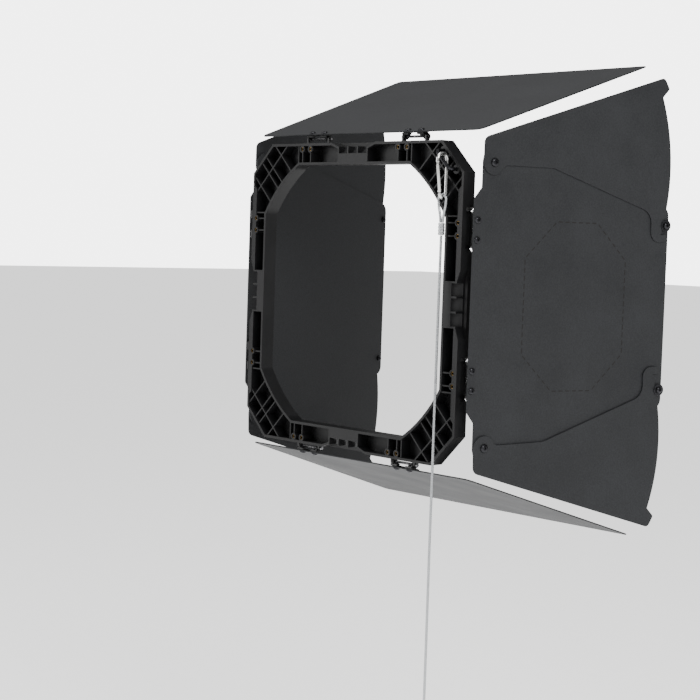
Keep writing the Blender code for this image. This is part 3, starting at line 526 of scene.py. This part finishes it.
def tube(shape, points, radius, section=20):
    """Sweep a round section along points and round off both ends."""
    path = [Vector(point) for point in points]
    directions = [
        (path[min(i + 1, len(path) - 1)] - path[max(i - 1, 0)]).normalized()
        for i in range(len(path))
    ]
    nose = 0.45 * radius
    round_off = ((0.0, 0.72), (0.35, 0.93), (0.75, 1.0))
    first = [(path[0] + directions[0] * nose * step, share) for step, share in round_off]
    last = [(path[-1] - directions[-1] * nose * step, share) for step, share in round_off]
    stations = [(point, directions[0], share) for point, share in first]
    stations += [(path[i], directions[i], 1.0) for i in range(1, len(path) - 1)]
    stations += [(point, directions[-1], share) for point, share in reversed(last)]
    previous = None
    for point, ahead, share in stations:
        ring = bmesh.ops.create_circle(shape, segments=section, radius=radius * share)["verts"]
        put(shape, ring, point, ahead)
        edges = loop_edges(ring)
        if previous is None:
            shape.faces.new(ring)
        else:
            bmesh.ops.bridge_loops(shape, edges=previous + edges)
        previous = edges
    shape.faces.new(ring)


def hook_line(top, down):
    """The rod's line in its own plane: nose, wide bend, back, narrow bend."""
    flat = [(-WIDE, WIDE + NOSE_LENGTH), (-WIDE, WIDE + NOSE_LENGTH / 2)]
    turns = [math.radians(180 - 180 * step / 28) for step in range(29)]
    flat += [(WIDE * math.cos(a), WIDE - WIDE * math.sin(a)) for a in turns]
    middle = WIDE + CENTRES
    turns = [math.radians(-180 * step / 20) for step in range(21)]
    flat += [(LEAN + NARROW * math.cos(a), middle - NARROW * math.sin(a)) for a in turns]
    return [(top[0], top[1] + u, top[2] - down * v) for u, v in flat]


hooks = []
for end, down in (("upper", 1), ("lower", -1)):
    low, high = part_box(f"{end}_snap_hook")
    edge = high.z - HOOK_WIRE if down > 0 else low.z + HOOK_WIRE
    top = ((low.x + high.x) / 2, low.y + HOOK_WIRE + WIDE, edge)
    shape = bmesh.new()
    tube(shape, hook_line(top, down), HOOK_WIRE)
    hook = finish_piece(
        f"{end}_hook", shape, CHROME, "root", [f"{end}_snap_hook"], 40
    )
    hooks.append(hook)
    # the gate runs from the rivet at the narrow end to just short of the nose
    drop = WIDE + CENTRES - GATE - GAP
    rivet = Vector((top[0], top[1] + LEAN - NARROW, top[2] - down * drop))
    nose = Vector((top[0], top[1] - WIDE, top[2] - down * (WIDE + NOSE_LENGTH)))
    along = nose - rivet
    length = along.length - 2 * GAP
    profile = [(0, -GATE), (GATE * 0.5, -GATE * 0.87), (GATE * 0.87, -GATE * 0.5), (GATE, 0)]
    profile += [(GATE, length - 2.2 * MM), (GATE * 0.8, length - 2.0 * MM)]
    profile += [(GATE * 0.8, length - 0.3 * MM), (GATE * 0.65, length), (0, length)]
    shape = bmesh.new()
    lathe(shape, profile, rivet, along, 28)
    pin = [(0, -RIVET_HALF), (0.9 * MM, -RIVET_HALF), (1.1 * MM, -2.0 * MM)]
    pin += [(1.1 * MM, 2.0 * MM), (0.9 * MM, RIVET_HALF), (0, RIVET_HALF)]
    lathe(shape, pin, rivet, (1, 0, 0), 16)
    gate = f"{end}_hook_gate"
    hooks.append(finish_piece(f"{end}_gate", shape, CHROME, gate, [gate]))
print("hooks:", [hook.name for hook in hooks])

# %% [markdown]
# ## Sheet and pressed parts with eased edges
# No real edge is perfectly sharp: powder coat rounds the sheet's edges and the
# mould rounds the frame's.  Each solid is copied, its triangles are merged back
# into flat faces, and its sharp edges get a small bevel that catches light.


# %% Sheet and pressed parts with eased edges
COPY_WELD = 0.002 * MM
FLAT_ANGLE = 0.6
SHARP_ANGLE = 35
SHEET_EASE = 0.3 * MM
LEAF_EASE = 0.25 * MM
MOULDING_EASE = 0.35 * MM


def eased_copy(node, name, width, material, body):
    """A copy of a solid with bevelled edges, which stands for it."""
    shape = bmesh.new()
    shape.from_mesh(nodes[node].data)
    bmesh.ops.remove_doubles(shape, verts=shape.verts, dist=COPY_WELD)
    bmesh.ops.dissolve_limit(
        shape,
        angle_limit=math.radians(FLAT_ANGLE),
        verts=shape.verts,
        edges=shape.edges,
    )
    sharp = [
        edge
        for edge in shape.edges
        if len(edge.link_faces) == 2 and edge.calc_face_angle() > math.radians(SHARP_ANGLE)
    ]
    bmesh.ops.bevel(
        shape,
        geom=sharp,
        offset=width,
        offset_type="OFFSET",
        affect="EDGES",
        segments=2,
        profile=0.5,
        material=-1,
        clamp_overlap=True,
    )
    piece = finish_piece(name, shape, material, body, [node], 40)
    flat = piece.modifiers.new("Flat faces", "WEIGHTED_NORMAL")
    flat.keep_sharp = True
    return piece


SIDES = ("top", "bottom", "right", "left")
SIDE_DOORS = ("right", "left")
WINGS = ("upper", "lower")
for side in SIDES:
    door = f"{side}_door"
    eased_copy(door, f"{door}_sheet", SHEET_EASE, COAT, door)
    for number in (1, 2):
        for half, body in (("frame", "root"), ("door", door)):
            leaf = f"{side}_hinge_{number}_{half}"
            eased_copy(
                f"{leaf}_leaf", f"{leaf}_bracket", LEAF_EASE, STEEL, body
            )
for side in SIDE_DOORS:
    for which in WINGS:
        wing = f"{side}_{which}_wing"
        eased_copy(wing, f"{wing}_sheet", SHEET_EASE, COAT, wing)
eased_copy("frame", "frame_moulding", MOULDING_EASE, NYLON, "root")
print("eased sheets and brackets")

# %% [markdown]
# ## Screws
# The fasteners are button heads with a hexagon socket.  A head is a lathe-turned
# dome; its inner ring is pulled to a hexagon and pushed down to make the socket.


# %% Screws
HEX_CORNER = 1.155
# radius, height and socket width of each kind of button head
DOOR_HEAD = (3.8 * MM, 2.1 * MM, 2.5 * MM)
PIVOT_HEAD = (4.7 * MM, 2.4 * MM, 3.0 * MM)
GUIDE_HEAD = (3.8 * MM, 2.0 * MM, 2.5 * MM)
LEAF_HEAD = (2.8 * MM, 1.7 * MM, 2.0 * MM)
# radius and height of each kind of nut
DOOR_NUT = (3.1 * MM, 1.4 * MM)
WING_NUT = (3.9 * MM, 2.0 * MM)
# radius of each screw that ends in a nut, then the nut's rim and the screw's end
DOOR_SHANK = 1.5 * MM
PIVOT_SHANK = 2.2 * MM
GUIDE_SHANK = 1.8 * MM
NUT_CHAMFER = 0.3 * MM
TIP_PROUD = 1.2 * MM


def socket_head(shape, radius, height, across_flats, origin, direction):
    """A button head with its seat at the origin point."""
    before = set(shape.verts)
    rim = across_flats / 2 * HEX_CORNER
    dome = [(0, 0), (radius * 0.94, 0), (radius, height * 0.12), (radius * 0.97, height * 0.4)]
    dome += [(radius * 0.86, height * 0.72), (radius * 0.68, height * 0.93)]
    dome += [(rim * 1.15, height), (rim, height)]
    made = spin_profile(shape, dome, 24)
    rim_edges = [
        edge
        for edge in {edge for vert in made for edge in vert.link_edges}
        if edge.is_boundary
    ]
    for vert in {vert for edge in rim_edges for vert in edge.verts}:
        angle = math.atan2(vert.co.y, vert.co.x) % (math.pi / 3) - math.pi / 6
        reach = across_flats / 2 / math.cos(angle)
        vert.co.xy = vert.co.xy.normalized() * reach
    result = bmesh.ops.extrude_edge_only(shape, edges=rim_edges)
    lower = [item for item in result["geom"] if isinstance(item, bmesh.types.BMVert)]
    bmesh.ops.translate(shape, verts=lower, vec=(0, 0, -height * 0.62))
    floor = [item for item in result["geom"] if isinstance(item, bmesh.types.BMEdge)]
    floor = [edge for edge in floor if edge.is_boundary]
    bmesh.ops.contextual_create(shape, geom=floor)
    made = [vert for vert in shape.verts if vert not in before]
    put(shape, made, origin, direction)


def nut_with_tip(shape, radius, height, screw, origin, direction):
    """A chamfered hexagon nut with the end of its screw standing proud."""
    before = set(shape.verts)
    bmesh.ops.create_cone(
        shape, cap_ends=True, segments=6, radius1=radius, radius2=radius, depth=height
    )
    nut = [vert for vert in shape.verts if vert not in before]
    rims = {edge for vert in nut for edge in vert.link_edges}
    rims = [edge for edge in rims if abs(edge.verts[0].co.z - edge.verts[1].co.z) < 1e-6]
    bmesh.ops.bevel(
        shape,
        geom=rims,
        offset=NUT_CHAMFER,
        offset_type="OFFSET",
        affect="EDGES",
        segments=1,
        profile=0.5,
        material=-1,
    )
    made = [vert for vert in shape.verts if vert not in before]
    bmesh.ops.translate(shape, verts=made, vec=(0, 0, height / 2))
    put(shape, made, origin, direction)
    end = height + TIP_PROUD
    tip = [(0, height * 0.5), (screw, height * 0.5), (screw, end - NUT_CHAMFER)]
    tip += [(screw * 0.75, end), (0, end)]
    lathe(shape, tip, origin, direction, 20)


# %% [markdown]
# ## A door's own directions
# Each door is described by three directions at rest: along its hinge, its reach
# away from the frame, and outward from its face.  The hinge line is read from
# the door's joint, and the other two follow from the angle at which it flares.


# %% A door's own directions
PANEL_LIFT = 7.3 * MM
SHEET = 1.5 * MM
LEAF_THICKNESS = 2 * MM
HINGE_HALF_SPACING = 80 * MM
DOOR_SCREW_HALF = 10.5 * MM
OUT = {"top": (0, 0, 1), "bottom": (0, 0, -1), "right": (1, 0, 0), "left": (-1, 0, 0)}
FLARE = {"top": 19.3, "bottom": 17.7, "right": 14.0, "left": 7.0}


def door_axes(side):
    """Origin on the hinge line, then along, reach and outward directions."""
    origin = Vector(joints[f"{side}_door_hinge"]["pos_m"])
    out = Vector(OUT[side])
    forward = Vector((0, 1, 0))
    flare = math.radians(FLARE[side])
    reach = forward * math.cos(flare) + out * math.sin(flare)
    outward = out * math.cos(flare) - forward * math.sin(flare)
    along = Vector((0, 0, 1)) if side in SIDE_DOORS else Vector((1, 0, 0))
    return origin, along, reach, outward


def door_point(side, along, reach, lift):
    origin, line, away, outward = door_axes(side)
    return origin + line * along + away * reach + outward * lift


# %% [markdown]
# ## Dashed line on the side doors
# Each side door carries a plain dashed line, a rectangle with cut corners.  Every
# dash is a thin block of darker ink, half sunk in the sheet, so that it stands
# less than a tenth of a millimetre proud.

# %% Dashed line on the side doors
DASH_NEAR = 62 * MM
DASH_FAR = 196 * MM
DASH_HALF = 92 * MM
DASH_CORNER = 40 * MM
DASH_PITCH = 9 * MM
DASH_SIZE = (5.5 * MM, 1.3 * MM, 0.15 * MM)


def dashed_ink():
    material, shader = start_material("matt black ink", Metallic=0.0, IOR=1.4)
    grain = noise(material, 0.8)
    colour = colour_between(material, grain, "#0c0a09", "#120f0d")
    connect(material, colour, shader.inputs["Base Color"])
    rough = number_between(material, grain, 0.6, 0.7)
    connect(material, rough, shader.inputs["Roughness"])
    return material


def dash_places():
    """The middle and direction of each dash, as (reach, along) vectors."""
    near, far, half, corner = DASH_NEAR, DASH_FAR, DASH_HALF, DASH_CORNER
    upper = [(near, half - corner), (near + corner, half), (far - corner, half)]
    upper.append((far, half - corner))
    corners = [Vector(point) for point in upper]
    corners += [Vector((reach, -along)) for reach, along in reversed(upper)]
    for start, end in zip(corners, corners[1:] + corners[:1]):
        count = max(1, round((end - start).length / DASH_PITCH))
        for step in range(count):
            yield start.lerp(end, (step + 0.5) / count), (end - start).normalized()


INK = dashed_ink()
for side in SIDE_DOORS:
    _, line, away, outward = door_axes(side)
    dashes = bmesh.new()
    for place, heading in dash_places():
        length, width, height = DASH_SIZE
        ahead = away * heading.x + line * heading.y
        axes = (ahead * length, outward.cross(ahead) * width, outward * height)
        turn = Matrix(axes).transposed().to_4x4()
        centre = door_point(side, place.y, place.x, PANEL_LIFT)
        bmesh.ops.create_cube(dashes, size=1, matrix=Matrix.Translation(centre) @ turn)
    finish_piece(f"{side}_door_dashes", dashes, INK, f"{side}_door")
print("dashes on", len(SIDE_DOORS), "doors:", len(list(dash_places())), "each")

# %% [markdown]
# ## Door screws and nuts
# Two screws hold each hinge leaf to its door, with a nut on the inner side.

# %% Door screws and nuts
NUT_LIFT = PANEL_LIFT - SHEET - LEAF_THICKNESS - 2 * GAP
for side in SIDES:
    heads = bmesh.new()
    nuts = bmesh.new()
    outward = door_axes(side)[3]
    for hinge in (-1, 1):
        for end in (-1, 1):
            along = hinge * HINGE_HALF_SPACING + end * DOOR_SCREW_HALF
            seat = door_point(side, along, 0, PANEL_LIFT)
            socket_head(heads, *DOOR_HEAD, seat, outward)
            under = door_point(side, along, 0, NUT_LIFT)
            nut_with_tip(nuts, *DOOR_NUT, DOOR_SHANK, under, -outward)
    body = f"{side}_door"
    finish_piece(f"{side}_door_screw_heads", heads, BLACK_OXIDE, body)
    finish_piece(f"{side}_door_nuts", nuts, BLACK_OXIDE, body)
print("door screws and nuts on", len(SIDES), "doors")

# %% [markdown]
# ## Pivot and guide screws of the wings
# A wing turns on a large button head.  At its other end a stepped washer under a
# smaller head holds the curved edge down and lets it slide.

# %% Pivot and guide screws of the wings
DISC_RADIUS = 6.6 * MM
DISC_THICKNESS = 0.8 * MM
DISC_CHAMFER = 0.2 * MM
DISC_BORE = 2.1 * MM
SLEEVE_RADIUS = 3.0 * MM
KINDS = (("pivot_screw", PIVOT_HEAD, PIVOT_SHANK), ("guide_screw", GUIDE_HEAD, GUIDE_SHANK))


def axis_and_ends(node, outward):
    """The foot of a turned part's axis, and its lowest and highest point along it."""
    points = [vert.co for vert in node.data.vertices]
    heights = [point.dot(outward) for point in points]
    middle = sum(points, Vector()) / len(points)
    return middle - outward * middle.dot(outward), min(heights), max(heights)


for side in SIDE_DOORS:
    hinge, _, _, outward = door_axes(side)
    nut_height = hinge.dot(outward) + PANEL_LIFT - SHEET
    body = f"{side}_door"
    for which in WINGS:
        wing = f"{side}_{which}_wing"
        for kind, head, shank in KINDS:
            node = nodes[f"{wing}_{kind}"]
            foot, low, high = axis_and_ends(node, outward)
            seat = high - head[1]
            shape = bmesh.new()
            socket_head(shape, *head, foot + outward * seat, outward)
            depth = seat - low
            rod = [(0, 0), (shank * 0.8, 0), (shank, 0.3 * MM), (shank, depth), (0, depth)]
            lathe(shape, rod, foot + outward * low, outward, 24)
            nut_with_tip(shape, *WING_NUT, shank, foot + outward * nut_height, -outward)
            name = f"{wing}_{kind}_head"
            finish_piece(name, shape, BLACK_OXIDE, body, [node.name])
        washer = nodes[f"{wing}_guide_washer"]
        foot, low, high = axis_and_ends(washer, outward)
        flange = high - DISC_THICKNESS
        rim = DISC_RADIUS - DISC_CHAMFER
        profile = [(DISC_BORE, low), (SLEEVE_RADIUS, low), (SLEEVE_RADIUS, flange)]
        profile += [(rim, flange), (DISC_RADIUS, flange + DISC_CHAMFER)]
        profile += [(DISC_RADIUS, high - DISC_CHAMFER), (rim, high), (DISC_BORE, high)]
        shape = bmesh.new()
        lathe(shape, profile, foot, outward, 48)
        finish_piece(f"{wing}_guide_disc", shape, BLACK_OXIDE, body, [washer.name])
print("wing fasteners done")

# %% [markdown]
# ## Threaded inserts and hinge screws of the frame
# Brass inserts are pressed into the bosses from behind, and a screw through each
# front leaf runs into every one.

# %% Threaded inserts and hinge screws of the frame
FRAME_HALF = 175 * MM
INSERT_INSET = 6.6 * MM
INSERT_HALF_SPACING = 7 * MM
INSERT_BORE = 1.5 * MM
INSERT_RADIUS = 2.5 * MM
INSERT_REAR = 1.0 * MM
INSERT_FRONT = 9.0 * MM
INSERT_CHAMFER = (0.2 * MM, 0.3 * MM)
SCREW_RADIUS = 1.4 * MM
SCREW_TIP = 4.5 * MM
SCREW_CHAMFER = (0.3 * MM, 0.4 * MM)
leaf_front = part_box("right_hinge_1_frame_leaf")[1].y
edge = INSERT_RADIUS - INSERT_CHAMFER[0]
ring = [(INSERT_BORE, INSERT_REAR), (edge, INSERT_REAR)]
ring += [(INSERT_RADIUS, INSERT_REAR + INSERT_CHAMFER[1])]
ring += [(INSERT_RADIUS, INSERT_FRONT), (INSERT_BORE, INSERT_FRONT)]
tip = [(0, SCREW_TIP), (SCREW_RADIUS - SCREW_CHAMFER[0], SCREW_TIP)]
tip += [(SCREW_RADIUS, SCREW_TIP + SCREW_CHAMFER[1])]
tip += [(SCREW_RADIUS, leaf_front), (0, leaf_front)]
inserts = bmesh.new()
leaf_screws = bmesh.new()
for quarter in range(4):
    turn = Matrix.Rotation(math.pi / 2 * quarter, 3, "Y")
    for hinge in (-1, 1):
        for end in (-1, 1):
            along = hinge * HINGE_HALF_SPACING + end * INSERT_HALF_SPACING
            place = turn @ Vector((FRAME_HALF - INSERT_INSET, 0, along))
            lathe(inserts, ring, place, (0, 1, 0), 28)
            lathe(leaf_screws, tip, place, (0, 1, 0), 20)
            seat = place + Vector((0, leaf_front, 0))
            socket_head(leaf_screws, *LEAF_HEAD, seat, (0, 1, 0))
finish_piece("brass_inserts", inserts, BRASS, "root")
finish_piece("hinge_leaf_screws", leaf_screws, BLACK_OXIDE, "root")
print("inserts and leaf screws: 16 of each")

# %% [markdown]
# ## Hinge pins and bail
# The pins stay as the solid model has them, in turned steel.  The bail is a bent
# rod in black oxide with a hexagon nut on each foot.

# %% Hinge pins and bail
for side in SIDES:
    for number in (1, 2):
        pin = nodes[f"{side}_hinge_{number}_pin"]
        pin.data.materials.clear()
        pin.data.materials.append(PIN_STEEL)
for name in ("safety_bail", "safety_bail_nut_1", "safety_bail_nut_2"):
    nodes[name].data.materials.clear()
    nodes[name].data.materials.append(BLACK_OXIDE)
print("pins and bail finished")

# %% [markdown]
# ## Floor and light
# A wide pale floor lies well below and glows a little, as brightly lit paper
# does.  Three large soft lights give the sheet its long, even gradients, and a
# white room shows behind.


# %% Floor and light
FLOOR_HALF = 30
FLOOR_DROP = 0.25
AIM = (0, 0.1, 0)
WHITE = (1, 1, 1, 1)


def pale_paper():
    material, shader = start_material("pale backdrop paper", Metallic=0.0, Roughness=0.9)
    fibres = noise(material, 30, detail=3.0)
    colour = colour_between(material, fibres, "#f4f4f3", "#f8f8f7")
    connect(material, colour, shader.inputs["Base Color"])
    shader.inputs["Emission Color"].default_value = linear("#ffffff")
    shader.inputs["Emission Strength"].default_value = 1.1
    return material


floor_mesh = bpy.data.meshes.new("floor")
sheet = bmesh.new()
bmesh.ops.create_grid(sheet, x_segments=2, y_segments=2, size=FLOOR_HALF)
sheet.to_mesh(floor_mesh)
sheet.free()
floor_mesh.materials.append(pale_paper())
floor = bpy.data.objects.new("floor", floor_mesh)
floor.location = (0, 0, CAD_BOX[0][2] - FLOOR_DROP)
bpy.context.scene.collection.objects.link(floor)


def softbox(name, place, size, power):
    """A white rectangle of light, pointed at the middle of the object."""
    data = bpy.data.lights.new(name, "AREA")
    data.shape = "RECTANGLE"
    data.size = size[0]
    data.size_y = size[1]
    data.energy = power
    light = bpy.data.objects.new(name, data)
    light.location = place
    light.rotation_euler = (Vector(AIM) - light.location).to_track_quat("-Z", "Y").to_euler()
    bpy.context.scene.collection.objects.link(light)


softbox("key", (2.6, -1.0, 1.8), (1.4, 1.4), 80)
softbox("left_fill", (-1.6, -2.6, 1.0), (1.6, 1.6), 50)
softbox("top", (-0.4, -0.4, 2.4), (1.6, 1.2), 40)
world = bpy.data.worlds.new("studio")
world.use_nodes = True
tree = world.node_tree
room = tree.nodes["Background"]
room.inputs["Color"].default_value = WHITE
room.inputs["Strength"].default_value = 0.35
# the lens sees the room bright, while the light that it sheds stays soft
seen = tree.nodes.new("ShaderNodeBackground")
seen.inputs["Color"].default_value = WHITE
seen.inputs["Strength"].default_value = 5.0
rays = tree.nodes.new("ShaderNodeLightPath")
mix = tree.nodes.new("ShaderNodeMixShader")
tree.links.new(rays.outputs["Is Camera Ray"], mix.inputs["Fac"])
tree.links.new(room.outputs["Background"], mix.inputs[1])
tree.links.new(seen.outputs["Background"], mix.inputs[2])
tree.links.new(mix.outputs["Shader"], tree.nodes["World Output"].inputs["Surface"])
bpy.context.scene.world = world
print("lights set")

# %% End of the script
print("script finished")
